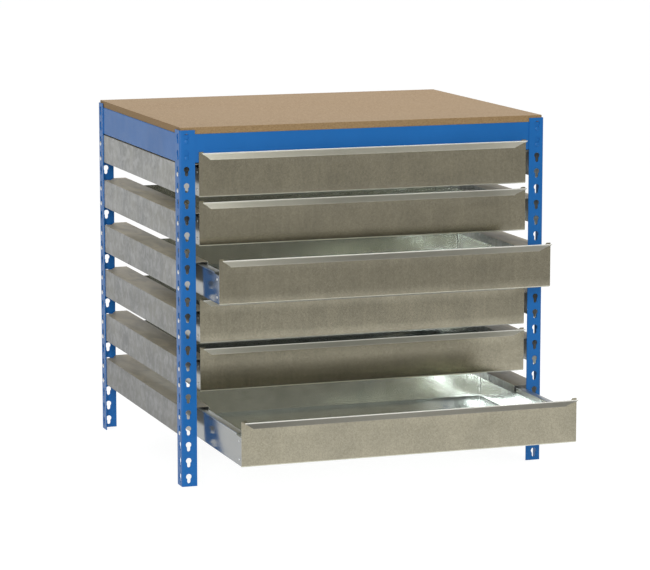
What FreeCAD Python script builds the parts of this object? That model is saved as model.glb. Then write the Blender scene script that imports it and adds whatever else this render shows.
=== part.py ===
"""A boltless steel workbench: four angle uprights, four beams, a board top and six sliding drawers.

Millimetres. +X is to the right, +Y to the rear and +Z up. The origin is on the floor, at the centre
of the rectangle that the four uprights stand in. The drawers are drawn where they stand at rest:
some are closed and some are pulled out.
"""

import FreeCAD, Part
import os
import Sketcher
from FreeCAD import Placement, Rotation, Vector

doc = FreeCAD.newDocument("Workbench")

# Driving dimensions
DIMENSIONS = {
    # overall
    "bench_width": 910,
    "bench_depth": 720,
    "hole_pitch": 38.1,
    "pitch_count": 22,
    # uprights and their keyholes
    "upright_flange": 37,
    "upright_wall": 2,
    "upright_bend": 3,
    "key_offset": 16.5,
    "key_base": 11.75,
    "key_head_dia": 13.6,
    "key_neck_dia": 8.2,
    "key_drop": 11.8,
    # studs and rivets that hang in the keyholes
    "stud_play": 1.2,
    "stud_head_lap": 1.4,
    "stud_head_rise": 2,
    # beams and worktop
    "beam_height": 66.5,
    "beam_wall": 1.5,
    "beam_bend": 2,
    "beam_shelf": 28,
    "beam_return": 18,
    "beam_edge": 11.75,
    "beam_end_gap": 1,
    "cope_gap": 2,
    "board_thickness": 16,
    "board_gap": 1.5,
    # drawer rails
    "rail_count": 6,
    "rail_step": 3,
    "rail_first_hole": 3,
    "rail_headroom": 2.95,
    "rail_edge": 7.5,
    "rail_wall": 1.2,
    "rail_lip": 20,
    "rail_ledge": 12,
    "rail_end_gap": 0.5,
    "rail_notch_width": 34,
    "rail_notch_root": 17,
    "rail_notch_length": 36,
    "stop_setback": 158,
    "stop_spacing": 10,
    "stop_dia": 5,
    "stop_reach": 4,
    # drawer trays
    "drawer_rear_gap": 132,
    "drawer_wall": 1,
    "side_gap": 9,
    "hem_width": 19,
    "hem_drop": 5,
    "hem_relief": 35,
    "wall_relief": 4.5,
    "runner_gap": 1.8,
    "seat_gap": 0.3,
    "rear_notch_gap": 2.5,
    # drawer fronts
    "front_gap": 9.3,
    "front_rise": 28,
    "ear_width": 28,
    "ear_height": 19,
    "ear_top": 10,
    "pull_rise": 17.5,
    "pull_reach": 18.5,
    "pull_side": 3,
    "pull_hem": 5,
    "return_depth": 30,
    "return_drop": 6,
    "rivet_dia": 6.5,
    "rivet_rise": 1.2,
    "rivet_setback": 16,
    "rivet_low": 15.5,
    "rivet_high": 14.5,
    # how far each drawer stands open at rest
    "open_1": 0,
    "open_2": 0,
    "open_3": 153.5,
    "open_4": 0,
    "open_5": 0,
    "open_6": 314.5,
}

sheet = doc.addObject("Spreadsheet::Sheet", "Dims")
for row, (alias, number) in enumerate(DIMENSIONS.items(), 1):
    sheet.set(f"A{row}", alias)
    sheet.set(f"B{row}", str(number))
    sheet.setAlias(f"B{row}", alias)
doc.recompute()


def size(alias):
    """The sheet's cell, as an expression."""
    return f"Dims.{alias}"


def number(expression):
    """What an expression on the sheet comes to."""
    return float(sheet.evalExpression(str(expression)))


# Sizes that follow from the driving dimensions, as expressions
HALF_WIDTH = "(Dims.bench_width / 2)"
HALF_DEPTH = "(Dims.bench_depth / 2)"
UPRIGHT_HEIGHT = "(Dims.hole_pitch * Dims.pitch_count)"
INNER_HALF_WIDTH = f"({HALF_WIDTH} - Dims.upright_wall)"
INNER_HALF_DEPTH = f"({HALF_DEPTH} - Dims.upright_wall)"
STUD_X = f"({HALF_WIDTH} - Dims.key_offset)"
STUD_Y = f"({HALF_DEPTH} - Dims.key_offset)"
BEAM_STUD_Z = "(Dims.key_base + Dims.hole_pitch * (Dims.pitch_count - 2))"
BEAM_BOTTOM = f"({BEAM_STUD_Z} - Dims.beam_edge)"
BOARD_BOTTOM = f"({BEAM_BOTTOM} + Dims.beam_height)"
RAIL_PITCH = "(Dims.hole_pitch * Dims.rail_step)"
RAIL_STUD_Z = "(Dims.key_base + Dims.hole_pitch * Dims.rail_first_hole)"
STUD_DIA = "(Dims.key_neck_dia - Dims.stud_play)"
STUD_HEAD_DIA = "(Dims.key_neck_dia + 2 * Dims.stud_head_lap)"
RAIL_ABOVE_STUD = "(2 * Dims.hole_pitch - Dims.beam_edge - Dims.rail_headroom)"
RAIL_HEIGHT = f"(Dims.rail_edge + {RAIL_ABOVE_STUD})"
LOWEST_RAIL_TOP = f"({RAIL_STUD_Z} + {RAIL_ABOVE_STUD})"
INNER_BEND = "(Dims.upright_bend - Dims.upright_wall)"
RAIL_LENGTH = f"(2 * ({INNER_HALF_DEPTH} - {INNER_BEND} - Dims.rail_end_gap))"
RAIL_TO_DRAWER = "(Dims.upright_flange + Dims.side_gap - Dims.upright_wall)"
RAIL_REACH = f"({RAIL_TO_DRAWER} + Dims.hem_width + Dims.runner_gap + Dims.rail_wall)"
RAIL_INNER_X = f"({INNER_HALF_WIDTH} - {RAIL_REACH})"
STOP_Y = f"({INNER_HALF_DEPTH} - Dims.stop_setback)"
DRAWER_HALF = f"({HALF_WIDTH} - Dims.upright_flange - Dims.side_gap)"
DRAWER_DEPTH = "(Dims.bench_depth - Dims.upright_wall - Dims.drawer_rear_gap)"
FRONT_HEIGHT = f"({RAIL_PITCH} - Dims.front_gap)"
TRAY_HEIGHT = f"({FRONT_HEIGHT} - Dims.front_rise - Dims.hem_drop)"
HEM_LIP = "(Dims.rail_lip - Dims.rail_wall - Dims.hem_drop - Dims.seat_gap)"
FOLD_HEIGHT = f"({FRONT_HEIGHT} - Dims.ear_height)"
RETURN_HEIGHT = f"({TRAY_HEIGHT} - Dims.return_drop)"
RIVET_SPACING = f"({TRAY_HEIGHT} - Dims.rivet_low - Dims.rivet_high)"

DRAWER_NUMBERS = range(1, DIMENSIONS["rail_count"] + 1)
STUD_SIDES = 8
NEARNESS = 1e-6
ORIGIN = -1
START = 1
END = 2

nodes = []


def rail_top(drawer):
    """Height of the top face of the rails that carry a drawer, counted from the top."""
    return f"({LOWEST_RAIL_TOP} + {RAIL_PITCH} * (Dims.rail_count - {drawer}))"


def new_body(label, x="0", y="0", z="0", turn=0):
    """A body at a place that the sheet drives, turned about the vertical."""
    body = doc.addObject("PartDesign::Body", label)
    body.Label = label
    body.Placement = Placement(Vector(0, 0, 0), Rotation(Vector(0, 0, 1), turn))
    for axis, place in zip("xyz", (x, y, z)):
        body.setExpression(f"Placement.Base.{axis}", place)
    nodes.append(body)
    return body


def origin_part(body, role):
    """An axis or plane of a body's own origin."""
    return next(part for part in body.Origin.OriginFeatures if part.Role == role)


def new_sketch(body, name, plane, offset="0"):
    """A sketch on one of the body's origin planes, shifted along the plane's normal."""
    sketch = body.newObject("Sketcher::SketchObject", name)
    sketch.AttachmentSupport = (origin_part(body, plane), [""])
    sketch.MapMode = "FlatFace"
    sketch.setExpression("AttachmentOffset.Base.z", offset)
    return sketch


def draw_polygon(sketch, corners):
    """A closed polygon whose corners are pairs of expressions, measured from the sketch's origin."""
    first = sketch.GeometryCount
    count = len(corners)
    spots = [Vector(number(across), number(up), 0) for across, up in corners]
    for i in range(count):
        sketch.addGeometry(Part.LineSegment(spots[i], spots[(i + 1) % count]))
    for i in range(count):
        line = first + i
        following = first + (i + 1) % count
        sketch.addConstraint(Sketcher.Constraint("Coincident", line, END, following, START))
        for kind, place in zip(("DistanceX", "DistanceY"), corners[i]):
            datum = Sketcher.Constraint(kind, ORIGIN, START, line, START, number(place))
            sketch.setExpression(f"Constraints[{sketch.addConstraint(datum)}]", place)


def draw_stud(sketch, across, up, diameter):
    """A stud's round section about a point, as a regular polygon with the diameter over its corners."""
    turns = [f"{360 * (i + 0.5) / STUD_SIDES} deg" for i in range(STUD_SIDES)]
    corners = [
        (f"{across} + {diameter} / 2 * cos({turn})", f"{up} + {diameter} / 2 * sin({turn})")
        for turn in turns
    ]
    draw_polygon(sketch, corners)


def mirrored_outline(half):
    """A closed outline from its right half, which runs from the bottom of the centre plane to the top."""
    left = [(f"-({across})", up) for across, up in reversed(half)]
    return half + left


def pad(body, name, sketch, length, side="One side", backwards=False):
    """Material along a sketch's normal."""
    feature = body.newObject("PartDesign::Pad", name)
    feature.Profile = sketch
    feature.setExpression("Length", length)
    feature.SideType = side
    feature.Reversed = backwards
    return feature


def pocket(body, name, sketch, length, backwards=False):
    """A cut against a sketch's normal, or along it when backwards."""
    feature = body.newObject("PartDesign::Pocket", name)
    feature.Profile = sketch
    feature.setExpression("Length", length)
    feature.Reversed = backwards
    return feature


def pattern(body, name, axis, spacing, count):
    """Equal steps along an axis of the body."""
    feature = body.newObject("PartDesign::LinearPattern", name)
    feature.Direction = (origin_part(body, axis), [""])
    feature.setExpression("Length", f"{spacing} * ({count} - 1)")
    feature.setExpression("Occurrences", count)
    return feature


def mirror(body, name, plane, originals=()):
    """The other half of features that the body has on both sides of a plane."""
    feature = body.newObject("PartDesign::Mirrored", name)
    feature.MirrorPlane = (origin_part(body, plane), [""])
    if originals:
        feature.Originals = list(originals)
        body.Tip = feature
    return feature


def repeat(body, originals, steps):
    """One set of features carried through several patterns and mirrors in turn."""
    feature = body.newObject("PartDesign::MultiTransform", "Repeat")
    feature.Originals = originals
    feature.Transformations = steps
    body.Tip = feature
    return feature


def edges_along(shape, direction, x=None, y=None, z=None):
    """Names of a shape's straight edges that run one way through the given coordinates."""
    wanted = {"x": x, "y": y, "z": z}
    names = []
    for index, edge in enumerate(shape.Edges, 1):
        ends = [vertex.Point for vertex in edge.Vertexes]
        if len(ends) != 2 or (ends[1] - ends[0]).cross(direction).Length > NEARNESS:
            continue
        if all(abs(getattr(ends[0], axis) - at) < NEARNESS for axis, at in wanted.items() if at is not None):
            names.append(f"Edge{index}")
    return names


def round_bend(body, name, base, edges, radius):
    """A rounded bend on named edges of the body's last feature."""
    feature = body.newObject("PartDesign::Fillet", name)
    feature.Base = (base, edges)
    feature.setExpression("Radius", radius)
    return feature


def keyhole_outline(across):
    """A wide round head above a narrow neck, in which a stud's shank comes to rest."""
    head = "Dims.key_head_dia / 2"
    neck = "Dims.key_neck_dia / 2"
    head_up = "Dims.key_base + Dims.key_drop"
    neck_up = "Dims.key_base"
    shoulder_up = f"{head_up} - sqrt(({head}) ^ 2 - ({neck}) ^ 2)"
    foot_share = 0.8
    crown_share = 0.45
    swell = 0.1
    half = [
        (f"{foot_share} * {neck}", f"{neck_up} - {neck}"),
        (neck, shoulder_up),
        (head, f"{head_up} + {swell} * {head}"),
        (f"{crown_share} * {head}", f"{head_up} + {head}"),
    ]
    return [(f"{across} + ({half_width})", up) for half_width, up in mirrored_outline(half)]


def make_upright(label, side, end, turn):
    """An equal angle with the same column of keyholes in both flanges. Its corner is the body's origin."""
    body = new_body(label, f"{side} * {HALF_WIDTH}", f"{end} * {HALF_DEPTH}", turn=turn)
    flange = size("upright_flange")
    wall = size("upright_wall")
    section = new_sketch(body, "Section", "XY_Plane")
    draw_polygon(
        section,
        [("0", "0"), (flange, "0"), (flange, wall), (wall, wall), (wall, flange), ("0", flange)],
    )
    angle = pad(body, "Angle", section, UPRIGHT_HEIGHT)
    doc.recompute()
    upward = Vector(0, 0, 1)
    outer_edge = edges_along(angle.Shape, upward, x=0, y=0)
    outer = round_bend(body, "OuterBend", angle, outer_edge, size("upright_bend"))
    doc.recompute()
    inner_edge = edges_along(outer.Shape, upward, x=number(wall), y=number(wall))
    round_bend(body, "InnerBend", outer, inner_edge, INNER_BEND)
    holes = []
    for flange_name, plane, backwards in (("Front", "XZ_Plane", False), ("Side", "YZ_Plane", True)):
        sketch = new_sketch(body, f"{flange_name}Keyhole", plane)
        draw_polygon(sketch, keyhole_outline(size("key_offset")))
        holes.append(pocket(body, f"{flange_name}Hole", sketch, wall, backwards))
    column = pattern(body, "Keyholes", "Z_Axis", size("hole_pitch"), size("pitch_count"))
    column.Originals = holes
    body.Tip = column


def make_beam(label, x, y, turn, length, cope):
    """A channel with a wide shelf on top for the board. Its web's outer face is the plane y = 0."""
    body = new_body(label, x, y, BEAM_BOTTOM, turn)
    wall = size("beam_wall")
    height = size("beam_height")
    section = new_sketch(body, "Section", "YZ_Plane")
    draw_polygon(
        section,
        [
            ("0", "0"),
            (size("beam_return"), "0"),
            (size("beam_return"), wall),
            (wall, wall),
            (wall, f"{height} - {wall}"),
            (size("beam_shelf"), f"{height} - {wall}"),
            (size("beam_shelf"), height),
            ("0", height),
        ],
    )
    channel = pad(body, "Channel", section, length, side="Symmetric")
    doc.recompute()
    along = Vector(1, 0, 0)
    bends = edges_along(channel.Shape, along, y=0, z=0)
    bends += edges_along(channel.Shape, along, y=0, z=number(height))
    round_bend(body, "Bends", channel, bends, size("beam_bend"))
    if cope is None:
        return
    plan = new_sketch(body, "CopePlan", "XY_Plane")
    inner = f"{length} / 2 - {cope}"
    draw_polygon(
        plan,
        [
            (inner, size("beam_bend")),
            (f"{length}", size("beam_bend")),
            (f"{length}", f"2 * {size('beam_shelf')}"),
            (inner, f"2 * {size('beam_shelf')}"),
        ],
    )
    cut = pocket(body, "Cope", plan, height, backwards=True)
    mirror(body, "OtherCope", "YZ_Plane", [cut])


def make_worktop():
    """The board lies on the beams' shelves, inside the four uprights."""
    body = new_body("worktop", z=BOARD_BOTTOM)
    half_x = f"({INNER_HALF_WIDTH} - Dims.board_gap)"
    half_y = f"({INNER_HALF_DEPTH} - Dims.board_gap)"
    plan = new_sketch(body, "Plan", "XY_Plane")
    draw_polygon(
        plan,
        [
            (f"-{half_x}", f"-{half_y}"),
            (half_x, f"-{half_y}"),
            (half_x, half_y),
            (f"-{half_x}", half_y),
        ],
    )
    pad(body, "Board", plan, size("board_thickness"))


def make_rail(label, side, turn, drawer):
    """A folded rail. The web hangs on the uprights, and the drawer's hem runs on the ledge of the lip.

    The web's outer face is the plane x = 0, and the flange's top face is the plane z = 0.
    """
    body = new_body(label, f"{side} * {INNER_HALF_WIDTH}", "0", rail_top(drawer), turn)
    wall = size("rail_wall")
    lip = size("rail_lip")
    ledge_end = f"{RAIL_REACH} - {size('rail_ledge')}"
    section = new_sketch(body, "Section", "XZ_Plane")
    draw_polygon(
        section,
        [
            ("0", "0"),
            ("0", f"-{RAIL_HEIGHT}"),
            (wall, f"-{RAIL_HEIGHT}"),
            (wall, f"-{wall}"),
            (f"{RAIL_REACH} - {wall}", f"-{wall}"),
            (f"{RAIL_REACH} - {wall}", f"{wall} - {lip}"),
            (ledge_end, f"{wall} - {lip}"),
            (ledge_end, f"-{lip}"),
            (RAIL_REACH, f"-{lip}"),
            (RAIL_REACH, "0"),
        ],
    )
    pad(body, "Fold", section, RAIL_LENGTH, side="Symmetric")
    plan = new_sketch(body, "NotchPlan", "XY_Plane")
    end = f"({RAIL_LENGTH} / 2)"
    root = f"{end} - {size('rail_notch_length')}"
    draw_polygon(
        plan,
        [
            (wall, root),
            (size("rail_notch_root"), root),
            (size("rail_notch_width"), end),
            (size("rail_notch_width"), f"{end} + {wall}"),
            (wall, f"{end} + {wall}"),
        ],
    )
    notch = pocket(body, "Notch", plan, wall)
    mirror(body, "OtherNotch", "XZ_Plane", [notch])


def stud_features(body, plane, face, across, up, name):
    """A stud that starts on the piece inside, passes the upright's wall and ends in a head outside."""
    inner_face = f"{face} + Dims.upright_wall"
    outward = plane == "YZ_Plane"
    if plane == "XZ_Plane":
        inner_face = f"-({inner_face})"
        face = f"-({face})"
    shank_sketch = new_sketch(body, f"{name}ShankSection", plane, inner_face)
    draw_stud(shank_sketch, across, up, STUD_DIA)
    shank = pad(body, f"{name}Shank", shank_sketch, size("upright_wall"), backwards=outward)
    head_sketch = new_sketch(body, f"{name}HeadSection", plane, face)
    draw_stud(head_sketch, across, up, STUD_HEAD_DIA)
    head = pad(body, f"{name}Head", head_sketch, size("stud_head_rise"), backwards=outward)
    return [shank, head]


def make_beam_rivets():
    """Two rivets at each end of each beam."""
    body = new_body("beam_rivets")
    front = stud_features(body, "XZ_Plane", f"-{HALF_DEPTH}", f"-{STUD_X}", BEAM_STUD_Z, "Front")
    left = stud_features(body, "YZ_Plane", f"-{HALF_WIDTH}", f"-{STUD_Y}", BEAM_STUD_Z, "Left")
    steps = [
        pattern(body, "Pair", "Z_Axis", size("hole_pitch"), "2"),
        mirror(body, "OtherSide", "YZ_Plane"),
        mirror(body, "OtherEnd", "XZ_Plane"),
    ]
    repeat(body, front + left, steps)


def make_rail_studs():
    """Two studs at each end of each rail."""
    body = new_body("rail_studs")
    stud = stud_features(body, "YZ_Plane", f"-{HALF_WIDTH}", f"-{STUD_Y}", RAIL_STUD_Z, "Left")
    steps = [
        pattern(body, "Pair", "Z_Axis", size("hole_pitch"), "2"),
        pattern(body, "Rails", "Z_Axis", RAIL_PITCH, size("rail_count")),
        mirror(body, "OtherSide", "YZ_Plane"),
        mirror(body, "OtherEnd", "XZ_Plane"),
    ]
    repeat(body, stud, steps)


def make_drawer_stops():
    """Pairs of pins on the rails' lips, which catch a drawer's rear wall when it is pulled out."""
    body = new_body("drawer_stops")
    sketch = new_sketch(body, "PinSection", "YZ_Plane", f"-{RAIL_INNER_X}")
    low = f"({LOWEST_RAIL_TOP} - {size('rail_lip')} / 2 - {size('stop_spacing')} / 2)"
    draw_stud(sketch, f"-{STOP_Y}", low, size("stop_dia"))
    pin = pad(body, "Pin", sketch, size("stop_reach"))
    steps = [
        pattern(body, "Pair", "Z_Axis", size("stop_spacing"), "2"),
        pattern(body, "Rails", "Z_Axis", RAIL_PITCH, size("rail_count")),
        mirror(body, "OtherSide", "YZ_Plane"),
    ]
    repeat(body, [pin], steps)


def drawer_place(drawer):
    """The rear face of a drawer's front panel, at the height of the drawer's bottom."""
    front = f"-{HALF_DEPTH} - {size(f'open_{drawer}')}"
    bottom = f"{rail_top(drawer)} + {size('front_rise')} - {FRONT_HEIGHT}"
    return front, bottom


def make_tray(drawer):
    """A folded tray, open in front. Its side walls end in hems that hook over the rails' ledges."""
    front, bottom = drawer_place(drawer)
    body = new_body(f"drawer_tray_{drawer}", "0", front, bottom)
    wall = size("drawer_wall")
    hem_edge = f"{DRAWER_HALF} - {size('hem_width')}"
    lip_bottom = f"{TRAY_HEIGHT} - {HEM_LIP}"
    section = new_sketch(body, "Section", "XZ_Plane")
    half = [
        (DRAWER_HALF, "0"),
        (DRAWER_HALF, TRAY_HEIGHT),
        (hem_edge, TRAY_HEIGHT),
        (hem_edge, lip_bottom),
        (f"{hem_edge} + {wall}", lip_bottom),
        (f"{hem_edge} + {wall}", f"{TRAY_HEIGHT} - {wall}"),
        (f"{DRAWER_HALF} - {wall}", f"{TRAY_HEIGHT} - {wall}"),
        (f"{DRAWER_HALF} - {wall}", wall),
    ]
    draw_polygon(section, mirrored_outline(half))
    pad(body, "Fold", section, DRAWER_DEPTH, backwards=True)
    notch_x = f"{RAIL_INNER_X} - {size('rear_notch_gap')}"
    notch_z = f"{TRAY_HEIGHT} + {size('hem_drop')} - {size('rail_lip')} - {size('rear_notch_gap')}"
    rear = new_sketch(body, "RearOutline", "XZ_Plane", f"{wall} - {DRAWER_DEPTH}")
    rear_half = [
        (f"{DRAWER_HALF} - {wall}", wall),
        (f"{DRAWER_HALF} - {wall}", notch_z),
        (notch_x, notch_z),
        (notch_x, TRAY_HEIGHT),
    ]
    draw_polygon(rear, mirrored_outline(rear_half))
    pad(body, "RearWall", rear, wall, backwards=True)
    relief = new_sketch(body, "ReliefOutline", "XZ_Plane")
    inside = f"{hem_edge} - {wall}"
    outside = f"{DRAWER_HALF} + {wall}"
    above = f"{TRAY_HEIGHT} + {wall}"
    draw_polygon(
        relief,
        [
            (inside, above),
            (inside, f"{lip_bottom} - {wall}"),
            (f"{DRAWER_HALF} - {wall}", f"{lip_bottom} - {wall}"),
            (f"{DRAWER_HALF} - {wall}", f"{TRAY_HEIGHT} - {size('wall_relief')}"),
            (outside, f"{TRAY_HEIGHT} - {size('wall_relief')}"),
            (outside, above),
        ],
    )
    cut = pocket(body, "HemRelief", relief, size("hem_relief"))
    mirror(body, "OtherRelief", "YZ_Plane", [cut])


def rectangle(half_width, front, rear):
    """A rectangle that is centred on x = 0."""
    return [(f"-({half_width})", front), (half_width, front), (half_width, rear), (f"-({half_width})", rear)]


def loft(body, name, lower, upper):
    """A plate between two rectangles, each given as its height, half width, front and rear."""
    sections = []
    for place, (height, half_width, front, rear) in (("Low", lower), ("High", upper)):
        sketch = new_sketch(body, f"{name}{place}", "XY_Plane", height)
        draw_polygon(sketch, rectangle(half_width, front, rear))
        sections.append(sketch)
    feature = body.newObject("PartDesign::AdditiveLoft", name)
    feature.Profile = sections[0]
    feature.Sections = sections[1:]
    feature.Ruled = True
    return feature


def make_front(drawer):
    """A front panel with a lip pull bent out of its top, hemmed, between two flat ears.

    Three returns behind the panel fit inside the tray.
    """
    front, bottom = drawer_place(drawer)
    body = new_body(f"drawer_front_{drawer}", "0", front, bottom)
    wall = size("drawer_wall")
    panel = new_sketch(body, "Outline", "XZ_Plane")
    half = [
        (DRAWER_HALF, "0"),
        (DRAWER_HALF, FRONT_HEIGHT),
        (f"{DRAWER_HALF} - {size('ear_top')}", FRONT_HEIGHT),
        (f"{DRAWER_HALF} - {size('ear_width')}", FOLD_HEIGHT),
    ]
    draw_polygon(panel, mirrored_outline(half))
    pad(body, "Panel", panel, wall)
    pull_half = f"{DRAWER_HALF} - {size('pull_side')}"
    fold_half = f"{DRAWER_HALF} - {size('ear_width')}"
    reach = size("pull_reach")
    top = f"{FOLD_HEIGHT} + {size('pull_rise')}"
    loft(
        body,
        "Pull",
        (FOLD_HEIGHT, fold_half, f"-{wall}", "0"),
        (top, pull_half, f"-{wall} - {reach}", f"-{reach}"),
    )
    slant = f"({size('pull_hem')} / {size('pull_rise')})"
    hem_front = f"-{wall} - {reach} * (1 - {slant})"
    hem_half = f"{fold_half} + ({size('ear_width')} - {size('pull_side')}) * (1 - {slant})"
    loft(
        body,
        "PullHem",
        (f"{top} - {size('pull_hem')}", hem_half, f"{hem_front} - {wall}", hem_front),
        (top, pull_half, f"-2 * {wall} - {reach}", f"-{wall} - {reach}"),
    )
    returns = new_sketch(body, "ReturnSection", "XZ_Plane")
    outer = f"{DRAWER_HALF} - {wall}"
    inner = f"{DRAWER_HALF} - 2 * {wall}"
    draw_polygon(
        returns,
        mirrored_outline(
            [(outer, wall), (outer, RETURN_HEIGHT), (inner, RETURN_HEIGHT), (inner, f"2 * {wall}")]
        ),
    )
    pad(body, "Returns", returns, size("return_depth"), backwards=True)


def make_drawer_rivets(drawer):
    """Flat rivet heads on the tray's walls, where the front's returns are fixed."""
    front, bottom = drawer_place(drawer)
    body = new_body(f"drawer_rivets_{drawer}", "0", front, bottom)
    sketch = new_sketch(body, "HeadSection", "YZ_Plane", f"-{DRAWER_HALF}")
    draw_stud(sketch, size("rivet_setback"), size("rivet_low"), size("rivet_dia"))
    head = pad(body, "Head", sketch, size("rivet_rise"), backwards=True)
    steps = [
        pattern(body, "Pair", "Z_Axis", RIVET_SPACING, "2"),
        mirror(body, "OtherSide", "YZ_Plane"),
    ]
    repeat(body, [head], steps)


def check_document():
    """Stops if any object of the document failed or any sub-part has no sound shape."""
    failed = [item.Label for item in doc.Objects if {"Invalid", "Error"} & set(item.State)]
    unsound = [node.Label for node in nodes if node.Shape.isNull() or not node.Shape.isValid()]
    if failed or unsound:
        raise RuntimeError(f"failed: {failed}, unsound: {unsound}")


# Frame
for corner, (corner_side, corner_end, corner_turn) in {
    "front_left": (-1, -1, 0),
    "front_right": (1, -1, 90),
    "rear_right": (1, 1, 180),
    "rear_left": (-1, 1, 270),
}.items():
    make_upright(f"upright_{corner}", corner_side, corner_end, corner_turn)

BEAM_END = "(Dims.beam_wall + Dims.beam_end_gap)"
CROSS_LENGTH = f"(2 * ({INNER_HALF_WIDTH} - {BEAM_END}))"
SIDE_LENGTH = f"(2 * ({INNER_HALF_DEPTH} - {BEAM_END}))"
CROSS_COPE = f"({size('beam_shelf')} - {BEAM_END} + {size('cope_gap')})"
make_beam("beam_front", "0", f"-{INNER_HALF_DEPTH}", 0, CROSS_LENGTH, CROSS_COPE)
make_beam("beam_rear", "0", INNER_HALF_DEPTH, 180, CROSS_LENGTH, CROSS_COPE)
make_beam("beam_right", INNER_HALF_WIDTH, "0", 90, SIDE_LENGTH, None)
make_beam("beam_left", f"-{INNER_HALF_WIDTH}", "0", 270, SIDE_LENGTH, None)
make_beam_rivets()
make_worktop()
for rail in DRAWER_NUMBERS:
    make_rail(f"rail_left_{rail}", -1, 0, rail)
    make_rail(f"rail_right_{rail}", 1, 180, rail)
make_rail_studs()
make_drawer_stops()

# Drawers
for drawer_number in DRAWER_NUMBERS:
    make_tray(drawer_number)
    make_front(drawer_number)
    make_drawer_rivets(drawer_number)

doc.recompute()
check_document()
os.makedirs("parts", exist_ok=True)
for node in nodes:
    node.Shape.exportStep(f"parts/{node.Label}.step")
    print(f"{node.Label}: {len(node.Shape.Solids)} solids, {node.Shape.Volume:.0f} mm3")
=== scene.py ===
"""Looks of a boltless steel workbench with six shallow drawers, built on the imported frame.

Metres, in the frame's axes: +X right, +Y to the rear, +Z up, the origin on the floor.
"""
import math

import bmesh
import bpy
from mathutils import Matrix, Vector


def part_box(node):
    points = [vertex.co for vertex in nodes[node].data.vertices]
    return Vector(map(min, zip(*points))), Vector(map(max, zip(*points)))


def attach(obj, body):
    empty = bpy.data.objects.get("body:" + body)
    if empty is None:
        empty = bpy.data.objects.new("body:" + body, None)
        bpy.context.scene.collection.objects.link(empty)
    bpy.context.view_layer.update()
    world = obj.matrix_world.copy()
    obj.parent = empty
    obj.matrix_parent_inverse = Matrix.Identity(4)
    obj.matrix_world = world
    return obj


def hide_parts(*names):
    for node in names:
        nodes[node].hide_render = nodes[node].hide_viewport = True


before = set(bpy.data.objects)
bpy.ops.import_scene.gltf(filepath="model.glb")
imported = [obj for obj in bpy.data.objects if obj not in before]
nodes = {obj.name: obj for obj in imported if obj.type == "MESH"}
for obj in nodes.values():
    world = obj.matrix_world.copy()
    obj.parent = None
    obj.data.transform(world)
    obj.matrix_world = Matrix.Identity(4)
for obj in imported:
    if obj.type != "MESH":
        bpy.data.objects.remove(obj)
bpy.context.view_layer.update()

MM = 0.001
DRAWERS = range(1, 7)
SIDES = (-1, 1)

# Sizes of the frame, as in the model, and how far its bends and edges are rounded
HALF_WIDTH = 455 * MM
HALF_DEPTH = 360 * MM
HOLE_PITCH = 38.1 * MM
PITCH_COUNT = 22
UPRIGHT_FLANGE = 37 * MM
UPRIGHT_WALL = 2 * MM
UPRIGHT_BEND = 3 * MM
BOARD_EDGE = 0.6 * MM
RAIL_EDGE = 0.5 * MM

# Side (left or right) and end (front or rear) of each upright
CORNERS = {"front_left": (-1, -1), "front_right": (1, -1), "rear_right": (1, 1), "rear_left": (-1, 1)}

# Keyholes: the column's distance from the corner, the lowest neck's height, from the neck's centre up to
# the head's, and their radii
KEY_OFFSET = 16.5 * MM
KEY_BASE = 11.75 * MM
KEY_DROP = 11.8 * MM
KEY_HEAD = 6.8 * MM
KEY_NECK = 4.1 * MM

# Studs: their radii and rise, and the keyholes that they hang in, counted up from 0
STUD_HEAD = 5.4 * MM
STUD_SHANK = 3.5 * MM
STUD_RISE = 2 * MM
BEAM_STUD_ROW = 20
RAIL_STUD_ROW = 3
RAIL_STEP = 3

# Sizes of a drawer's tray
SHEET = 1 * MM
SHEET_BEND = 2 * MM
TRAY_HALF = 409 * MM
TRAY_HEIGHT = 72 * MM
HEM_WIDTH = 19 * MM
HEM_LIP = 13.5 * MM
HEM_RELIEF = 35 * MM
WALL_RELIEF = 4.5 * MM
REAR_NOTCH_X = 384.5 * MM
REAR_NOTCH_Z = 54.5 * MM
CORNER_TAB = 14 * MM
TAB_GAP = 0.1 * MM

# Sizes of a drawer's front and its rivets. Its lower edge is bent round from 180 to EDGE_TURN degrees.
FRONT_HEIGHT = 105 * MM
FOLD_HEIGHT = 86 * MM
EAR_WIDTH = 28 * MM
EAR_TOP = 10 * MM
PULL_RISE = 17.5 * MM
PULL_REACH = 18.5 * MM
PULL_LENGTH = math.hypot(PULL_REACH, PULL_RISE)
PULL_SIDE = 3 * MM
PULL_HEM = 5 * MM
HEM_FOLD = 0.65 * MM
EDGE_TURN = 255
RETURN_DEPTH = 30 * MM
RETURN_HEIGHT = 66 * MM
RIVET_RADIUS = 3.2 * MM
RIVET_RISE = 1.2 * MM

# Steps that curves and sheets are divided into
KEYHOLE_STEPS = 24
KEYHOLE_HALVINGS = 40
UPRIGHT_BEND_STEPS = 5
BEND_STEPS = 4
TRAY_COLUMNS = 12
TRAY_ROWS = 10
RELIEF_ROWS = 2
FRONT_COLUMNS = 16
FRONT_ROWS = 4
EDGE_STEPS = 5
FOLD_STEPS = 4
LIP_STEPS = 3
HEM_STEPS = 6
RETURN_STEPS = 3

# Domed heads: sides, angles of their rings in degrees, and the share of the rise that is upright
DOME_SIDES = 16
DOME_ANGLES = (30, 55, 75)
DOME_SKIRT = 0.35

# Faces that meet at more than the sharp angle meet in a crisp edge. Nodes of the frame have their flat
# faces joined and are then rounded at bends over the bevel angle.
SHARP_ANGLE = math.radians(32)
FLAT_ANGLE = math.radians(1)
BEVEL_ANGLE = math.radians(40)
BEVEL_SEGMENTS = 2

# Distances below which points are one, digits that heights are rounded to, and the least divisor
MERGE_DISTANCE = 1e-7
WELD_DISTANCE = 1e-6
HEIGHT_DIGITS = 7
TINY = 1e-9

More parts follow.
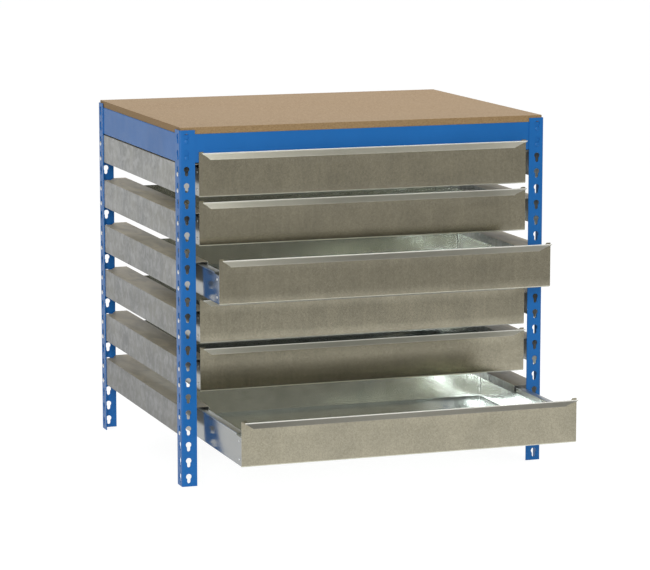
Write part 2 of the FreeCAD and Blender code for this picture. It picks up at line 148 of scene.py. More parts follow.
# The photograph's view
VIEW_AZIMUTH = math.radians(19.31)
VIEW_ELEVATION = math.radians(9.09)
VIEW_DISTANCE = 7.2096
VIEW_TARGET = Vector((0.0254, 0, 0.3996))
VIEW_FOCAL_PIXELS = 2895.2
FRAME_WIDTH_PIXELS = 650
SENSOR = 36

# The floor: half its width, where its grey turns to white on the way to the bench, its glow where it is
# seen, how much of the lamps' light is added there, and how much light it gives back to the bench
FLOOR_REACH = 60
FLOOR_TURN = (-2.7, -1.4)
FLOOR_GREY = (0.56, 0.55, 0.535)
FLOOR_WHITE = (1, 1, 1)
FLOOR_GLOW = 0.86
FLOOR_SHADOW = 0.26
FLOOR_BOUNCE = 0.72

# The light from all round
LIGHT_IN_FRONT = (0.42, 0.37, 0.22)
LIGHT_BEHIND = (0.72, 0.73, 0.75)
LIGHT_ABOVE = (0.55, 0.56, 0.58)


# Materials

# Dust on faces that look up, with a painted reflection of the board's tan that also lightens them
DUST_AND_REFLECTION = (0.68, 0.575, 0.375)
DUST_AND_REFLECTION_DARK = (0.46, 0.385, 0.25)

# How steeply a face looks up where its dusty tan, partly a painted reflection, begins and where it is full
DUST_AND_REFLECTION_SLOPE = (0.6, 0.9)

# Shares of the grain and the crystals in zinc's colour, and how its bloom whitens it
GRAIN_SHARE = 0.3
CRYSTAL_SHARE = 0.2
BLOOM_GAIN = 1.45
BLOOM_LIMIT = 0.85

# Share of the chips in the board's colour, and of the second of two patterns in a relief
CHIP_SHARE = 0.22
RELIEF_SHARE = 0.5

# How streaks run: a small number along the streaks, larger ones across them
STREAKS_BACKWARD = (40, 3, 40)
STREAKS_UPWARD = (160, 160, 9)
STREAKS_SIDEWAYS = (9, 160, 160)

# Painted reflections and shade: levels of each drawer's lip at its left end, in its middle part and at its
# right end
LIP_PAINTED_LIGHT_LEVELS = {
    1: (1.0, 0.54, 0.6),
    2: (0.9, 0.42, 0.44),
    3: (0.58, 0.28, 0.36),
    4: (0.56, 0.36, 0.45),
    5: (0.6, 0.37, 0.51),
    6: (0.15, 0.28, 0.22),
}

# Places along a lip: its left end, between, its middle part and its right end, and the left end's share
# in the level between
LIP_STOPS = (0, 0.18, 0.42, 1)
LIP_LEFT_SHARE = 0.42

# Sockets of a Mix node that mixes colours: the factor and two colours in, one colour out
MIX_INPUTS = (0, 6, 7)
MIX_OUTPUT = 2


def grey(level):
    """A neutral colour."""
    return (level, level, level)


def new_material(name):
    """A material, its tree and its principled shader."""
    material = bpy.data.materials.new(name)
    material.use_nodes = True
    tree = material.node_tree
    return material, tree, tree.nodes["Principled BSDF"]


def add_node(tree, kind, inputs=None, **settings):
    """A node whose inputs are set to values or linked to other nodes' outputs."""
    node = tree.nodes.new(f"ShaderNode{kind}")
    for key, value in settings.items():
        setattr(node, key, value)
    for key, value in (inputs or {}).items():
        if isinstance(value, bpy.types.NodeSocket):
            tree.links.new(value, node.inputs[key])
        else:
            node.inputs[key].default_value = value
    return node


def place(tree, stretch=(1, 1, 1)):
    """The point on the piece in metres, stretched along its axes."""
    where = add_node(tree, "TexCoord").outputs["Object"]
    return add_node(tree, "Mapping", {"Vector": where, "Scale": stretch}).outputs["Vector"]


def parts(tree, vector):
    """A vector's X, Y and Z."""
    return add_node(tree, "SeparateXYZ", {"Vector": vector}).outputs


def facing(tree):
    """X, Y and Z of the direction that a face is turned to."""
    return parts(tree, add_node(tree, "NewGeometry").outputs["Normal"])


def noise(tree, scale, detail=2.0, stretch=(1, 1, 1), distortion=0.0):
    """Cloudy noise between 0 and 1."""
    inputs = {"Vector": place(tree, stretch), "Scale": scale, "Detail": detail, "Distortion": distortion}
    return add_node(tree, "TexNoise", inputs).outputs["Fac"]


def cells(tree, scale, stretch=(1, 1, 1)):
    """A random grey for each cell of a crystal pattern."""
    inputs = {"Vector": place(tree, stretch), "Scale": scale}
    colour = add_node(tree, "TexVoronoi", inputs).outputs["Color"]
    return add_node(tree, "RGBToBW", {"Color": colour}).outputs["Val"]


def combine(tree, operation, first, second):
    """Two values combined into one."""
    return add_node(tree, "Math", {0: first, 1: second}, operation=operation).outputs[0]


def remap(tree, value, low, high, start=0.35, end=0.65):
    """Part of a value, from start to end, stretched over a range."""
    inputs = {"Value": value, "From Min": start, "From Max": end, "To Min": low, "To Max": high}
    return add_node(tree, "MapRange", inputs).outputs["Result"]


def ramp(tree, value, stops):
    """Colours along a value."""
    node = add_node(tree, "ValToRGB", {"Fac": value})
    elements = node.color_ramp.elements
    while len(elements) < len(stops):
        elements.new(0.5)
    for element, (position, colour) in zip(elements, stops):
        element.position = position
        element.color = (*colour, 1)
    return node.outputs["Color"]


def tones(tree, value, dark, light, start=0.3, end=0.7):
    """A colour that goes from dark to light over part of a value."""
    return ramp(tree, value, [(start, dark), (end, light)])


def mix(tree, factor, first, second, blend="MIX"):
    """Two colours mixed, each a constant or a node's output."""
    colours = [(*colour, 1) if isinstance(colour, tuple) else colour for colour in (first, second)]
    inputs = dict(zip(MIX_INPUTS, (factor, *colours)))
    return add_node(tree, "Mix", inputs, data_type="RGBA", blend_type=blend).outputs[MIX_OUTPUT]


def bump(tree, shader, height, depth, strength):
    """Fine relief."""
    inputs = {"Height": height, "Distance": depth, "Strength": strength}
    tree.links.new(add_node(tree, "Bump", inputs).outputs["Normal"], shader.inputs["Normal"])


def blue_paint():
    """Satin powder coat with a faint orange peel."""
    material, tree, shader = new_material("blue_powder_coat")
    patches = noise(tree, scale=7, detail=4)
    colour = tones(tree, patches, dark=(0.003, 0.112, 0.37), light=(0.005, 0.132, 0.43))
    tree.links.new(colour, shader.inputs["Base Color"])
    gloss = remap(tree, noise(tree, scale=30, detail=3), low=0.38, high=0.42)
    tree.links.new(gloss, shader.inputs["Roughness"])
    shader.inputs["Specular IOR Level"].default_value = 0.34
    bump(tree, shader, noise(tree, scale=700, detail=2), depth=0.00012, strength=0.35)
    return material


def zinc_colour(tree, dark, light, grain, crystals, bloom):
    """Clouds of zinc with streaks of grain, flecks of crystal and whitened patches."""
    clouds = noise(tree, scale=11, detail=6, distortion=0.6)
    base = tones(tree, clouds, dark, light, start=0.28, end=0.72)
    streaked = mix(tree, GRAIN_SHARE, base, tones(tree, grain, dark, light, start=0.25, end=0.75))
    flecked = mix(tree, CRYSTAL_SHARE, streaked, crystals, "SOFT_LIGHT")
    patches = noise(tree, scale=48, detail=8, distortion=0.7)
    whitening = remap(tree, patches, low=0, high=bloom, start=0.44, end=0.66)
    white = tuple(min(BLOOM_LIMIT, BLOOM_GAIN * part) for part in light)
    return mix(tree, whitening, flecked, white)


def dust_and_reflection_colour(tree):
    """Dust, and a painted reflection of the board that lightens it, in streaks towards the rear."""
    streaks = noise(tree, scale=30, detail=6, stretch=(1, 0.35, 1), distortion=0.8)
    return tones(tree, streaks, DUST_AND_REFLECTION_DARK, DUST_AND_REFLECTION, start=0.35, end=0.62)


def turned_out(tree, turn, spot):
    """1 on faces turned to the left, right or rear of the bench, and 0 on the others.

    Near the bench's sides, a face's X direction times its X place is above 0.3 on outer faces only.
    """
    outward = combine(tree, "MULTIPLY", turn["X"], spot["X"])
    aside = remap(tree, outward, low=0, high=1, start=0.2, end=0.3)
    rearward = remap(tree, turn["Y"], low=0, high=1, start=0.5, end=0.8)
    return combine(tree, "MAXIMUM", aside, rearward)


def levels_along(tree, spot, axis, start, end, stops):
    """Grey levels from start to end along an axis."""
    along = remap(tree, spot[axis], low=0, high=1, start=start, end=end)
    return ramp(tree, along, [(stop, grey(level)) for stop, level in stops])


def galvanised(
    name, dark, light, roughness, streaks, bloom, metal, relief=0.05, dust_and_reflection=0, painted_shade_outside=0, painted_light_fade=None
):
    """Hot-dip zinc: faint crystals, cloudy bloom, and streaks along the rolling direction.

    Dust, with a painted reflection of the board that lightens it, lies on what faces up. Painted shade
    scales the colour of faces turned to the left, right or rear of the bench, and a painted gradient of
    light and shade scales the colour along an axis.
    """
    material, tree, shader = new_material(name)
    grain = noise(tree, scale=1, detail=5, stretch=streaks)
    crystals = cells(tree, scale=330)
    colour = zinc_colour(tree, dark, light, grain, crystals, bloom)
    spot = parts(tree, place(tree))
    turn = facing(tree)
    shader.inputs["Metallic"].default_value = metal
    if dust_and_reflection:
        # Dust and a painted reflection of the board tint and lighten faces that look up
        dust_and_reflection_cover = remap(tree, turn["Z"], 0, dust_and_reflection, *DUST_AND_REFLECTION_SLOPE)
        colour = mix(tree, dust_and_reflection_cover, colour, dust_and_reflection_colour(tree))
        dulled = remap(tree, turn["Z"], metal, metal * (1 - dust_and_reflection), *DUST_AND_REFLECTION_SLOPE)
        tree.links.new(dulled, shader.inputs["Metallic"])
    # Painted shade: faces turned to the left, right or rear of the bench are darkened
    if painted_shade_outside:
        colour = mix(tree, turned_out(tree, turn, spot), colour, grey(painted_shade_outside), "MULTIPLY")
    # Painted light and shade: the colour is scaled by grey levels along an axis
    if painted_light_fade:
        colour = mix(tree, 1.0, colour, levels_along(tree, spot, *painted_light_fade), "MULTIPLY")
    tree.links.new(colour, shader.inputs["Base Color"])
    gloss = remap(tree, grain, *roughness, start=0.2, end=0.8)
    tree.links.new(gloss, shader.inputs["Roughness"])
    height = mix(tree, RELIEF_SHARE, noise(tree, scale=160, detail=4), crystals)
    bump(tree, shader, height, depth=0.0002, strength=relief)
    return material


def lip_zinc_painted_light(drawer):
    """The zinc of one drawer's lip, with painted reflections and shade that make it lighter and darker
    along its length.
    """
    at_left, in_middle, at_right = LIP_PAINTED_LIGHT_LEVELS[drawer]
    between = LIP_LEFT_SHARE * at_left + (1 - LIP_LEFT_SHARE) * in_middle
    stops = list(zip(LIP_STOPS, (at_left, between, in_middle, at_right)))
    return galvanised(
        f"galvanised_lip_painted_light_{drawer}", dark=(0.9, 0.865, 0.74), light=(1, 0.965, 0.83), roughness=(0.32, 0.45),
        streaks=STREAKS_UPWARD, bloom=0, metal=0.15, painted_light_fade=("X", -TRAY_HALF, TRAY_HALF, stops),
    )


def zinc_plate():
    """Bright zinc on small turned parts."""
    material, tree, shader = new_material("zinc_plate")
    tone = noise(tree, scale=420, detail=3)
    colour = tones(tree, tone, dark=(0.56, 0.57, 0.58), light=(0.74, 0.74, 0.72))
    tree.links.new(colour, shader.inputs["Base Color"])
    shader.inputs["Metallic"].default_value = 1.0
    tree.links.new(remap(tree, tone, low=0.22, high=0.36), shader.inputs["Roughness"])
    return material


def pressed_board():
    """Pressed board: a sanded face of small chips and a coarser, darker sawn edge."""
    material, tree, shader = new_material("pressed_board")
    chips = cells(tree, scale=420, stretch=(1, 0.5, 2.2))
    fine = noise(tree, scale=260, detail=6)
    broad = noise(tree, scale=5, detail=4)
    sawn = noise(tree, scale=330, detail=5, stretch=(1, 1, 2.6))
    sanded = tones(tree, fine, dark=(0.31, 0.215, 0.122), light=(0.42, 0.30, 0.188))
    chipped = mix(tree, CHIP_SHARE, sanded, chips, "SOFT_LIGHT")
    face = mix(tree, remap(tree, broad, low=0, high=0.35), chipped, (0.38, 0.275, 0.172))
    edge = tones(tree, sawn, dark=(0.22, 0.138, 0.064), light=(0.37, 0.245, 0.125))
    upward = remap(tree, facing(tree)["Z"], low=0, high=1, start=0.3, end=0.8)
    tree.links.new(mix(tree, upward, edge, face), shader.inputs["Base Color"])
    shader.inputs["Roughness"].default_value = 0.72
    shader.inputs["Specular IOR Level"].default_value = 0.2
    bump(tree, shader, mix(tree, RELIEF_SHARE, fine, chips), depth=0.0004, strength=0.25)
    return material


BLUE = blue_paint()
# The rails: painted shade darkens them towards the bottom and on their outer faces, and their top faces
# carry the dusty tan with its painted reflection
RAIL_ZINC = galvanised(
    "galvanised_rail", dark=(0.38, 0.395, 0.395), light=(0.66, 0.65, 0.585), roughness=(0.34, 0.52),
    streaks=STREAKS_BACKWARD, bloom=0.62, metal=0.85, relief=0.1, dust_and_reflection=0.9, painted_shade_outside=0.53,
    painted_light_fade=("Z", 0.1, 0.75, [(0, 0.55), (1, 1)]),
)
# The trays' walls get painted shade on their outer faces
TRAY_ZINC = galvanised(
    "galvanised_tray", dark=(0.66, 0.685, 0.66), light=(0.76, 0.785, 0.755), roughness=(0.12, 0.2),
    streaks=STREAKS_BACKWARD, bloom=0.1, metal=0.9, painted_shade_outside=0.35,
)
# A darker copy of the tray's zinc for its hems: painted shade
TRAY_HEM_PAINTED_SHADE = galvanised(
    "galvanised_tray_hem_painted_shade", dark=(0.36, 0.37, 0.36), light=(0.46, 0.47, 0.455), roughness=(0.22, 0.32),
    streaks=STREAKS_BACKWARD, bloom=0.2, metal=0.9,
)
FRONT_ZINC = galvanised(
    "galvanised_front", dark=(0.295, 0.275, 0.21), light=(0.385, 0.357, 0.27), roughness=(0.15, 0.22),
    streaks=STREAKS_UPWARD, bloom=0.06, metal=0.93,
)
# A lighter copy of the front's zinc for the hem along the lip's crest: a painted highlight
FRONT_HEM_PAINTED_HIGHLIGHT = galvanised(
    "galvanised_hem", dark=(0.78, 0.77, 0.72), light=(0.88, 0.87, 0.82), roughness=(0.3, 0.42),
    streaks=STREAKS_SIDEWAYS, bloom=0.1, metal=0.6,
)
# A lighter copy of the front's zinc for its rounded lower edge: a painted highlight
EDGE_PAINTED_HIGHLIGHT = galvanised(
    "galvanised_edge", dark=(0.54, 0.52, 0.42), light=(0.64, 0.61, 0.5), roughness=(0.3, 0.42),
    streaks=STREAKS_SIDEWAYS, bloom=0.1, metal=0.6,
)
# Each lip's zinc with its own painted reflections and shade
LIP_ZINC_PAINTED_LIGHT = {drawer: lip_zinc_painted_light(drawer) for drawer in DRAWERS}
ZINC = zinc_plate()
BOARD = pressed_board()

# Places of the materials in a tray and in a front. The tray's hems take painted shade; the front's lip, hem
# and lower edge take painted light.
WALLS, HEMS = range(2)
PANEL, LIP, HEM, EDGE = range(4)


# Mesh tools

def thicken(piece, thickness, offset):
    """Sheet metal from a surface. The offset says which side of the surface the sheet lies on."""
    solid = piece.modifiers.new("sheet", "SOLIDIFY")
    solid.thickness = thickness
    solid.offset = offset
    solid.use_even_offset = True
    graph = bpy.context.evaluated_depsgraph_get()
    surface = piece.data
    piece.data = bpy.data.meshes.new_from_object(piece.evaluated_get(graph))
    piece.modifiers.clear()
    piece.data.name = surface.name
    bpy.data.meshes.remove(surface)


def new_piece(name, work, materials, body, replaced, sheet=None):
    """A piece from a working mesh, riding on a body in place of a node of the frame.

    A sheet is the thickness and offset of a working mesh that is only a surface.
    """
    bmesh.ops.remove_doubles(work, verts=work.verts, dist=MERGE_DISTANCE)
    bmesh.ops.recalc_face_normals(work, faces=work.faces)
    mesh = bpy.data.meshes.new(name)
    work.to_mesh(mesh)
    work.free()
    for material in materials:
        mesh.materials.append(material)
    piece = bpy.data.objects.new(name, mesh)
    bpy.context.scene.collection.objects.link(piece)
    if sheet:
        thicken(piece, *sheet)
    piece.data.shade_smooth()
    piece.data.set_sharp_from_angle(angle=SHARP_ANGLE)
    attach(piece, body)
    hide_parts(replaced)


def dress(node, material, edge=0):
    """A material for a node of the frame that keeps its shape, and slightly rounded edges."""
    piece = nodes[node]
    piece.data.materials[0] = material
    if not edge:
        return
    weld = piece.modifiers.new("weld", "WELD")
    weld.merge_threshold = WELD_DISTANCE
    flat = piece.modifiers.new("flat", "DECIMATE")
    flat.decimate_type = "DISSOLVE"
    flat.angle_limit = FLAT_ANGLE
    bevel = piece.modifiers.new("edge", "BEVEL")
    bevel.width = edge
    bevel.segments = BEVEL_SEGMENTS
    bevel.limit_method = "ANGLE"
    bevel.angle_limit = BEVEL_ANGLE
    bevel.harden_normals = True


def arc(centre, radius, start, end, steps):
    """Points round part of a circle, angles in degrees."""
    turns = [math.radians(angle) for angle in spread(start, end, steps)]
    return [(centre[0] + radius * math.cos(t), centre[1] + radius * math.sin(t)) for t in turns]


def skin(work, rows, material=0):
    """Quads between rows of points of equal length."""
    lines = [[work.verts.new(point) for point in row] for row in rows]
    for first, second in zip(lines, lines[1:]):
        for corners in zip(first, first[1:], second[1:], second):
            work.faces.new(corners).material_index = material


def spread(low, high, count):
    """Evenly spaced values, both ends among them."""
    return [low + (high - low) * i / count for i in range(count + 1)]


# Uprights

# Above the neck's centre: the middle of a pitch, and where the neck meets the head
KEY_MIDDLE = HOLE_PITCH / 2 - KEY_BASE
KEY_SHOULDER = KEY_DROP - math.sqrt(KEY_HEAD**2 - KEY_NECK**2)


def keyhole_width(up):
    """Half the keyhole's width at a height above the neck's centre."""
    if up < 0:
        return math.sqrt(max(0, KEY_NECK**2 - up**2))
    if up < KEY_SHOULDER:
        return KEY_NECK
    return math.sqrt(max(0, KEY_HEAD**2 - (up - KEY_DROP) ** 2))


def keyhole_reach(angle):
    """Distance from the middle of a pitch to the keyhole's edge, one way."""
    low, high = 0, HOLE_PITCH / 2
    for _ in range(KEYHOLE_HALVINGS):
        reach = (low + high) / 2
        inside = abs(reach * math.cos(angle)) < keyhole_width(KEY_MIDDLE + reach * math.sin(angle))
        low, high = (reach, high) if inside else (low, reach)
    return low


def cell_ring():
    """Points of one pitch of a flange: pairs on the keyhole and on the rectangle round it."""
    left, right = KEY_OFFSET - UPRIGHT_BEND, UPRIGHT_FLANGE - KEY_OFFSET
    half = HOLE_PITCH / 2
    half_turn = KEYHOLE_STEPS // 2
    even = [math.pi * (i - half_turn) / half_turn for i in range(KEYHOLE_STEPS)]
    corners = [math.atan2(v, u) for u in (-left, right) for v in (-half, half)]
    shoulders = [math.atan2(KEY_SHOULDER - KEY_MIDDLE, side * KEY_NECK) for side in SIDES]
    ring = []
    for angle in sorted(even + corners + shoulders):
        across, up = math.cos(angle), math.sin(angle)
        limits = [half / abs(up)] if abs(up) > TINY else []
        if abs(across) > TINY:
            limits.append((right if across > 0 else left) / abs(across))
        reaches = (keyhole_reach(angle), min(limits))
        ring.append([(KEY_OFFSET + reach * across, half + reach * up) for reach in reaches])
    return ring


def make_upright(name, side, end):
    """An angle with a rounded bend and two columns of keyholes, as its outer surface."""
    work = bmesh.new()
    ring = cell_ring()

    def end_spot(across, up):
        return (side * (HALF_WIDTH - across), end * HALF_DEPTH, up)

    def side_spot(across, up):
        return (side * HALF_WIDTH, end * (HALF_DEPTH - across), up)

    for flange_spot in (end_spot, side_spot):
        for pitch in range(PITCH_COUNT):
            base = pitch * HOLE_PITCH
            rows = []
            for outline in zip(*ring):
                points = [flange_spot(across, base + up) for across, up in outline]
                rows.append(points + points[:1])
            skin(work, rows)
    beside_bend = [edge[1] for _, edge in ring if edge[0] < UPRIGHT_BEND + WELD_DISTANCE]
    levels = sorted({round(level, HEIGHT_DIGITS) for level in beside_bend})
    heights = [pitch * HOLE_PITCH + level for pitch in range(PITCH_COUNT) for level in levels]
    bend = arc((UPRIGHT_BEND, UPRIGHT_BEND), UPRIGHT_BEND, 180, 270, UPRIGHT_BEND_STEPS)
    skin(work, [[(side * (HALF_WIDTH - x), end * (HALF_DEPTH - y), up) for x, y in bend] for up in heights])
    new_piece(f"{name}_angle", work, [BLUE], "frame", name, (UPRIGHT_WALL, -1))


# Rivets and studs

def add_dome(work, centre, axis, radius, rise, shank=None):
    """A domed head that stands on a face. A shank below the face has a radius and a length."""
    turn = Vector(axis).to_track_quat("Z", "Y").to_matrix().to_4x4()
    sit = Matrix.Translation(Vector(centre)) @ turn
    shank_radius, shank_length = shank or (radius, 0)
    skirt = rise * DOME_SKIRT
    profile = [(shank_radius, -shank_length), (shank_radius, 0)] if shank else []
    profile += [(radius, 0), (radius, skirt)]
    for angle in map(math.radians, DOME_ANGLES):
        profile.append((radius * math.cos(angle), skirt + (rise - skirt) * math.sin(angle)))
    turns = spread(0, 2 * math.pi, DOME_SIDES)
    rows = []
    for out, up in profile:
        rows.append([sit @ Vector((out * math.cos(t), out * math.sin(t), up)) for t in turns])
    skin(work, rows)
    for row, height in ((rows[0], -shank_length), (rows[-1], rise)):
        tip = work.verts.new(sit @ Vector((0, 0, height)))
        rim = [work.verts.new(point) for point in row]
        for first, second in zip(rim, rim[1:]):
            work.faces.new((first, second, tip))


def stud_spots(rows, faces):
    """Places and directions of studs on the outer faces of the uprights."""
    spots = []
    for row in rows:
        up = KEY_BASE + row * HOLE_PITCH
        for side in SIDES:
            for end in SIDES:
                if "front" in faces:
                    spots.append(((side * (HALF_WIDTH - KEY_OFFSET), end * HALF_DEPTH, up), (0, end, 0)))
                if "side" in faces:
                    spots.append(((side * HALF_WIDTH, end * (HALF_DEPTH - KEY_OFFSET), up), (side, 0, 0)))
    return spots


def rivet_spots(drawer):
    """Places and directions of a drawer's rivets, from the box round those in the frame."""
    low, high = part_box(f"drawer_rivets_{drawer}")
    y = (low.y + high.y) / 2
    heights = [low.z + RIVET_RADIUS, high.z - RIVET_RADIUS]
    return [((side * TRAY_HALF, y, z), (side, 0, 0)) for side in SIDES for z in heights]


def make_heads(name, spots, radius, rise, material, body, replaced, shank=None):
    """Domed heads in one piece."""
    work = bmesh.new()
    for centre, axis in spots:
        add_dome(work, centre, axis, radius, rise, shank)
    new_piece(name, work, [material], body, replaced)


# Drawers

def make_tray(drawer, front, bottom):
    """A folded tray: rounded bends, hemmed side walls, and tabs behind its rear wall at the corners."""
    name = f"drawer_tray_{drawer}"
    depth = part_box(name)[1].y - front
    r = SHEET_BEND
    half = SHEET / 2
    wall = TRAY_HALF - half
    edge = wall - r
    hem = TRAY_HALF - HEM_WIDTH + half
    top = TRAY_HEIGHT - half
    rear = depth - half
    back = rear + SHEET + TAB_GAP
    work = bmesh.new()

    def add_rows(rows, material=WALLS):
        skin(work, [[(x, front + y, bottom + z) for x, y, z in row] for row in rows], material)

    # Floor and rear wall, which is narrower above its two notches
    columns = [-edge] + spread(-REAR_NOTCH_X, REAR_NOTCH_X, TRAY_COLUMNS) + [edge]
    near = spread(0, HEM_RELIEF, RELIEF_ROWS)
    far = spread(HEM_RELIEF, rear - r, TRAY_ROWS)
    fold = arc((rear - r, half + r), r, 270, 360, BEND_STEPS)
    floor = [(y, half) for y in near + far[1:]] + fold[1:] + [(rear, REAR_NOTCH_Z)]
    add_rows([[(x, y, z) for x in columns] for y, z in floor])
    add_rows([[(x, rear, z) for x in columns[1:-1]] for z in (REAR_NOTCH_Z, TRAY_HEIGHT)])
    # Side walls, lower and without a hem near the front, their hems, and the tabs
    lower = arc((edge, half + r), r, 270, 360, BEND_STEPS)
    upper = arc((edge, top - r), r, 0, 90, BEND_STEPS) + arc((hem + r, top - r), r, 90, 180, BEND_STEPS)
    upper.append((hem, TRAY_HEIGHT - HEM_LIP))
    relief = [(wall, TRAY_HEIGHT - WALL_RELIEF)]
    tab = arc((edge, back - r), r, 0, 90, BEND_STEPS) + [(wall - CORNER_TAB, back)]
    for side in SIDES:
        add_rows([[(side * x, y, z) for x, z in lower + relief] for y in near])
        add_rows([[(side * x, y, z) for x, z in lower + upper[:1]] for y in far])
        add_rows([[(side * x, y, z) for x, z in lower[-1:] + upper[:1]] for y in (rear - r, back - r)])
        add_rows([[(side * x, y, z) for x, z in upper] for y in far + [back - r]], HEMS)
        add_rows([[(side * x, y, z) for x, y in tab] for z in (half + r, REAR_NOTCH_Z)])
    # The hems take the darker copy of the zinc, painted shade
    finish = [TRAY_ZINC, TRAY_HEM_PAINTED_SHADE]
    new_piece(
        f"tray_{drawer}_sheet", work, finish, f"drawer_{drawer}", name, (SHEET, 0)
    )


def lip_profile(face):
    """The lip's section from the fold up: a bend, a leaning face, and a hem folded over its crest."""
    r = SHEET_BEND
    lean = math.atan2(PULL_REACH, PULL_RISE)
    out, up = math.sin(lean), math.cos(lean)
    lip = []
    for turn in spread(0, lean, FOLD_STEPS):
        lip.append((face - r * (1 - math.cos(turn)), FOLD_HEIGHT + r * math.sin(turn)))
    foot = lip[-1]
    straight = PULL_LENGTH - r * lean - HEM_FOLD
    lip += [(foot[0] - out * way, foot[1] + up * way) for way in spread(0, straight, LIP_STEPS)[1:]]
    crest = lip[-1]
    centre = (crest[0] - up * HEM_FOLD, crest[1] - out * HEM_FOLD)
    for turn in spread(0, math.pi, HEM_STEPS)[1:]:
        along = HEM_FOLD * math.sin(turn)
        across = HEM_FOLD * math.cos(turn)
        lip.append((centre[0] + up * across - out * along, centre[1] + out * across + up * along))
    last = lip[-1]
    return lip + [(last[0] + out * PULL_HEM, last[1] - up * PULL_HEM)]


def make_front(drawer, front, bottom):
    """A front panel whose top is folded out into a hemmed lip between two flat ears.

    A channel behind it lies inside the tray's walls and floor, where the rivets hold it.
    """
    r = SHEET_BEND
    half = SHEET / 2
    face = -half
    fold_half = TRAY_HALF - EAR_WIDTH
    top_half = TRAY_HALF - PULL_SIDE
    work = bmesh.new()

    def row(y, z, width):
        return [(x, front + y, bottom + z) for x in spread(-width, width, FRONT_COLUMNS)]

    def panel_row(z, y=face):
        ends = [(side * TRAY_HALF, front + y, bottom + z) for side in SIDES]
        return ends[:1] + row(y, z, fold_half) + ends[1:]

    edge = arc((face + r, half + r), r, EDGE_TURN, 180, EDGE_STEPS)
    skin(work, [panel_row(z, y) for y, z in edge], EDGE)
    skin(work, [panel_row(z) for z in spread(half + r, FOLD_HEIGHT, FRONT_ROWS)], PANEL)
    ear = [(fold_half, FOLD_HEIGHT), (TRAY_HALF, FOLD_HEIGHT), (TRAY_HALF, FRONT_HEIGHT)]
    ear.append((TRAY_HALF - EAR_TOP, FRONT_HEIGHT))
    for side in SIDES:
        work.faces.new([work.verts.new((side * x, front + face, bottom + z)) for x, z in ear])
    rows = []
    for y, z in lip_profile(face):
        share = min(1, math.hypot(y - face, z - FOLD_HEIGHT) / PULL_LENGTH)
        rows.append(row(y, z, fold_half + (top_half - fold_half) * share))
    crest = FOLD_STEPS + LIP_STEPS
    skin(work, rows[: crest + 1], LIP)
    skin(work, rows[crest:-1], HEM)
    skin(work, rows[-2:], LIP)
    inside = TRAY_HALF - SHEET - half
    floor = SHEET + half
    channel = [(-inside, RETURN_HEIGHT)] + arc((r - inside, floor + r), r, 180, 270, RETURN_STEPS)
    channel += [(-x, z) for x, z in reversed(channel)]
    skin(work, [[(x, front + y, bottom + z) for x, z in channel] for y in (0, RETURN_DEPTH)], PANEL)
    # The lip carries painted reflections and shade, and the hem and the lower edge painted highlights
    finish = [FRONT_ZINC, LIP_ZINC_PAINTED_LIGHT[drawer], FRONT_HEM_PAINTED_HIGHLIGHT, EDGE_PAINTED_HIGHLIGHT]
    name = f"drawer_front_{drawer}"
    new_piece(
        f"front_{drawer}_sheet", work, finish, f"drawer_{drawer}", name, (SHEET, 0)
    )


# The bench

def make_stand():
    """Uprights, beams, board, and the heads that hold the beams and rails."""
    for corner, (side, end) in CORNERS.items():
        make_upright(f"upright_{corner}", side, end)
    for beam in ("front", "rear", "left", "right"):
        dress(f"beam_{beam}", BLUE)
    dress("worktop", BOARD, BOARD_EDGE)
    shank = (STUD_SHANK, UPRIGHT_WALL)
    beam_spots = stud_spots((BEAM_STUD_ROW, BEAM_STUD_ROW + 1), ("front", "side"))
    make_heads(
        "beam_rivet_heads", beam_spots, STUD_HEAD, STUD_RISE,
        BLUE, "frame", "beam_rivets", shank,
    )
    rows = [RAIL_STUD_ROW + RAIL_STEP * level + pair for level in range(len(DRAWERS)) for pair in (0, 1)]
    make_heads(
        "rail_stud_heads", stud_spots(rows, ("side",)), STUD_HEAD, STUD_RISE,
        ZINC, "frame", "rail_studs", shank,
    )
    dress("drawer_stops", ZINC)


def make_drawer(drawer):
    """A drawer and the two rails that it slides on."""
    for side in ("left", "right"):
        dress(f"rail_{side}_{drawer}", RAIL_ZINC, RAIL_EDGE)
    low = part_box(f"drawer_tray_{drawer}")[0]
    make_tray(drawer, low.y, low.z)
    make_front(drawer, low.y, low.z)
    make_heads(
        f"drawer_{drawer}_rivet_heads", rivet_spots(drawer), RIVET_RADIUS, RIVET_RISE,
        ZINC, f"drawer_{drawer}", f"drawer_rivets_{drawer}",
    )


# Stage: floor, light and camera

def floor_material():
    """White round the bench and light grey farther in front of it.

    Seen or mirrored it glows and keeps a shadow, and otherwise it gives back the light that falls on it.
    """
    material = bpy.data.materials.new("studio_floor")
    material.use_nodes = True
    tree = material.node_tree
    tree.nodes.clear()
    near = remap(tree, parts(tree, place(tree))["Y"], 0, 1, *FLOOR_TURN)
    tint = mix(tree, near, FLOOR_GREY, FLOOR_WHITE)
    path = add_node(tree, "LightPath").outputs
    seen = path["Is Camera Ray"]
    for kind in ("Is Glossy Ray", "Is Transmission Ray"):
        seen = combine(tree, "MAXIMUM", seen, path[kind])
    glow = add_node(tree, "Emission", {"Color": tint, "Strength": FLOOR_GLOW})
    shadow = mix(tree, near, grey(0), grey(FLOOR_SHADOW))
    shaded = add_node(tree, "BsdfDiffuse", {"Color": shadow})
    shown = add_node(tree, "AddShader", {0: glow.outputs[0], 1: shaded.outputs[0]})
    bounce = mix(tree, 1.0, tint, grey(FLOOR_BOUNCE), "MULTIPLY")
    pale = add_node(tree, "BsdfDiffuse", {"Color": bounce})
    both = add_node(tree, "MixShader", {0: seen, 1: pale.outputs[0], 2: shown.outputs[0]})
    add_node(tree, "OutputMaterial", {"Surface": both.outputs[0]})
    return material


def make_floor():
    """A plain pale floor."""
    corners = [(-1, -1), (1, -1), (1, 1), (-1, 1)]
    mesh = bpy.data.meshes.new("floor")
    mesh.from_pydata([(FLOOR_REACH * x, FLOOR_REACH * y, 0) for x, y in corners], [], [(0, 1, 2, 3)])
    mesh.materials.append(floor_material())
    floor = bpy.data.objects.new("floor", mesh)
    bpy.context.scene.collection.objects.link(floor)


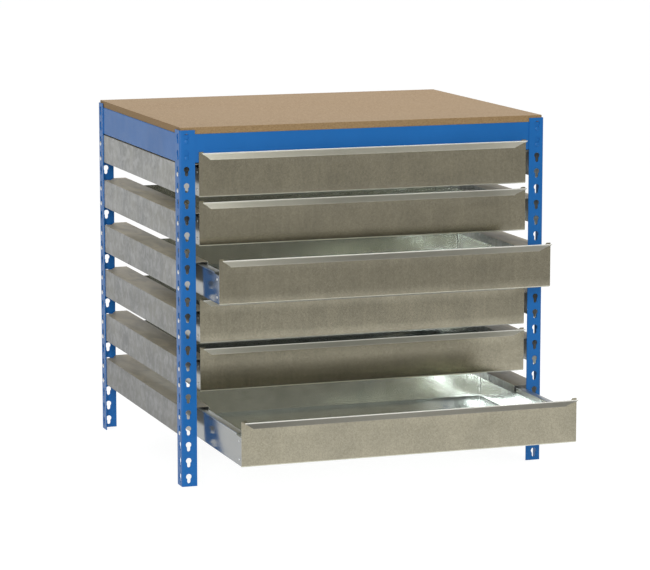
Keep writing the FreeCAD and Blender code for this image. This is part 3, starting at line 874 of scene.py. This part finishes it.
def make_world():
    """Soft light from all round: white behind the bench, dim and warm in front of it."""
    world = bpy.data.worlds.new("studio")
    world.use_nodes = True
    bpy.context.scene.world = world
    tree = world.node_tree
    background = tree.nodes["Background"]
    way = parts(tree, add_node(tree, "TexCoord").outputs["Generated"])
    behind = remap(tree, way["Y"], low=0, high=1, start=-0.9, end=0.6)
    above = remap(tree, way["Z"], low=0, high=1, start=0.1, end=0.9)
    around = tones(tree, behind, LIGHT_IN_FRONT, LIGHT_BEHIND, start=0, end=1)
    tree.links.new(mix(tree, above, around, LIGHT_ABOVE), background.inputs["Color"])
    background.inputs["Strength"].default_value = 1.0


def make_lamp(name, position, target, size, power, colour):
    """A square soft lamp."""
    light = bpy.data.lights.new(name, "AREA")
    light.size = size
    light.energy = power
    light.color = colour
    lamp = bpy.data.objects.new(name, light)
    lamp.location = position
    lamp.rotation_euler = (Vector(target) - Vector(position)).to_track_quat("-Z", "Y").to_euler()
    bpy.context.scene.collection.objects.link(lamp)


def make_camera():
    """The photograph's viewpoint, for its frame."""
    level = math.cos(VIEW_ELEVATION)
    back = Vector(
        (-math.sin(VIEW_AZIMUTH) * level, -math.cos(VIEW_AZIMUTH) * level, math.sin(VIEW_ELEVATION))
    )
    data = bpy.data.cameras.new("camera")
    data.sensor_width = SENSOR
    data.sensor_fit = "HORIZONTAL"
    data.lens = VIEW_FOCAL_PIXELS / FRAME_WIDTH_PIXELS * SENSOR
    camera = bpy.data.objects.new("camera", data)
    camera.location = VIEW_TARGET + back * VIEW_DISTANCE
    camera.rotation_euler = (-back).to_track_quat("-Z", "Y").to_euler()
    bpy.context.scene.collection.objects.link(camera)
    bpy.context.scene.camera = camera


make_stand()
for number in DRAWERS:
    make_drawer(number)
make_floor()
make_world()
make_lamp(
    "key", position=(-2.89, -7.81, 2.15), target=(0, 0, 0.45), size=3.0, power=390, colour=(0.92, 0.97, 1.0)
)
make_lamp("top", position=(0.3, 0.4, 3.4), target=(0, 0, 0.8), size=2.6, power=46, colour=(1.0, 0.99, 0.97))
make_camera()
bpy.context.scene.view_settings.view_transform = "Standard"
